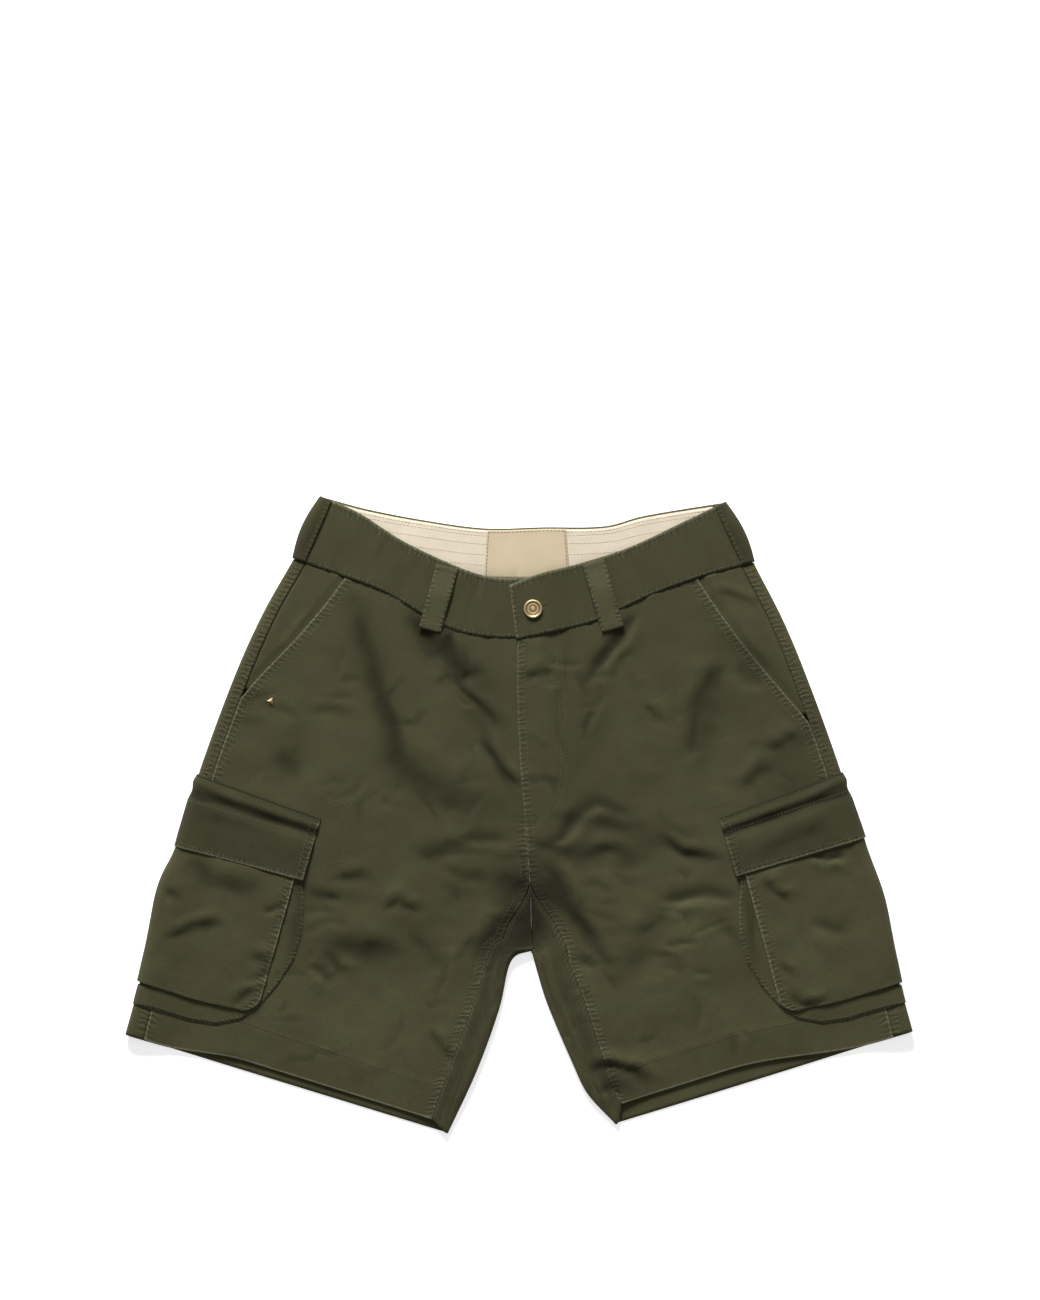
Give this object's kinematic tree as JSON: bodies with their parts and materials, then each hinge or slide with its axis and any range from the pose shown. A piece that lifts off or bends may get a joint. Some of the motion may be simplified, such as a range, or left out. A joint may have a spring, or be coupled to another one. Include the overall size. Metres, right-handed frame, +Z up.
{
  "type": "cargo shorts",
  "caption": "Cargo shorts in olive cotton twill laid flat, front up: buttoned waistband with belt loops, slanted hip pockets, flapped bellows pockets on the thighs and turned-up hems.",
  "frame": {"origin": "middle of the box's underside, on the surface that the shorts lie on", "axes": "+X across the shorts to the right as seen from above with the waist at the top, +Y from the hems to the waist, +Z up out of the front face"},
  "size_m": [0.708, 0.5732, 0.0185],
  "materials": {
    "twill": "washed olive cotton twill",
    "lining": "plain cream cotton",
    "label": "plain woven cream label, left bare",
    "button": "worn antique brass",
    "rivet": "worn antique brass"
  },
  "bodies": {
    "root": {"front_left": "twill", "back_left": "twill", "hip_pocket_facing_left": "twill", "cargo_pocket_left": "twill", "cargo_gusset_left": "twill", "cargo_flap_left": "twill", "waistband_left": "twill", "belt_loop_front_left": "twill", "belt_loop_side_left": "twill", "front_right": "twill", "back_right": "twill", "hip_pocket_facing_right": "twill", "cargo_pocket_right": "twill", "cargo_gusset_right": "twill", "cargo_flap_right": "twill", "waistband_right": "twill", "belt_loop_front_right": "twill", "belt_loop_side_right": "twill", "waistband_back": "twill", "waistband_lining": "lining", "waist_label": "label", "waist_button": "button", "pocket_rivet": "rivet"}
  },
  "joints": []
}
